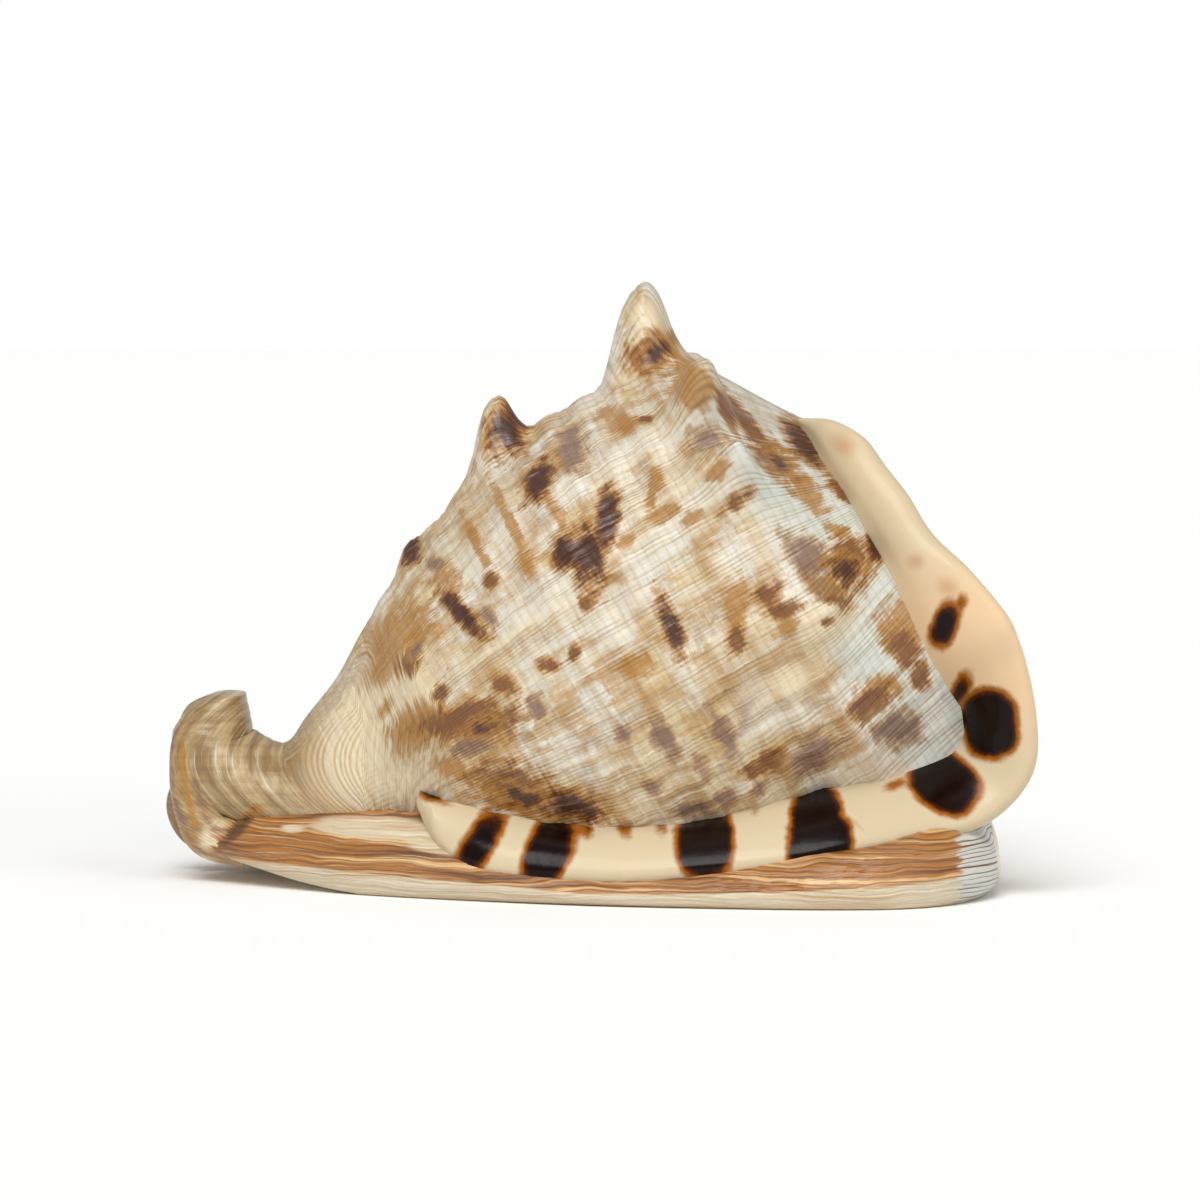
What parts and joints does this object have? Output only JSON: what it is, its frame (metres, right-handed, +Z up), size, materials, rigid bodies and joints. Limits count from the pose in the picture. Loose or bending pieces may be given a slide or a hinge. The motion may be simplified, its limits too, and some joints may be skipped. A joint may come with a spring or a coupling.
{
  "type": "conch shell",
  "caption": "Large horned helmet shell with a ramp of blunt horns, a curled beak and a wide glossy shield round a toothed slit mouth, lying on its flat face.",
  "frame": {"origin": "on the surface that the shell lies on, under the middle of its box", "axes": "+X from the curled beak towards the spire, +Y from the shield's edge towards the outer lip, +Z up from the flat face of the mouth"},
  "size_m": [0.2809, 0.2017, 0.1929],
  "materials": {
    "shell": "natural shell, mottled cream and brown, with a satin outside and glossy lips"
  },
  "bodies": {
    "root": {"helmet_shell": "shell"}
  },
  "joints": []
}
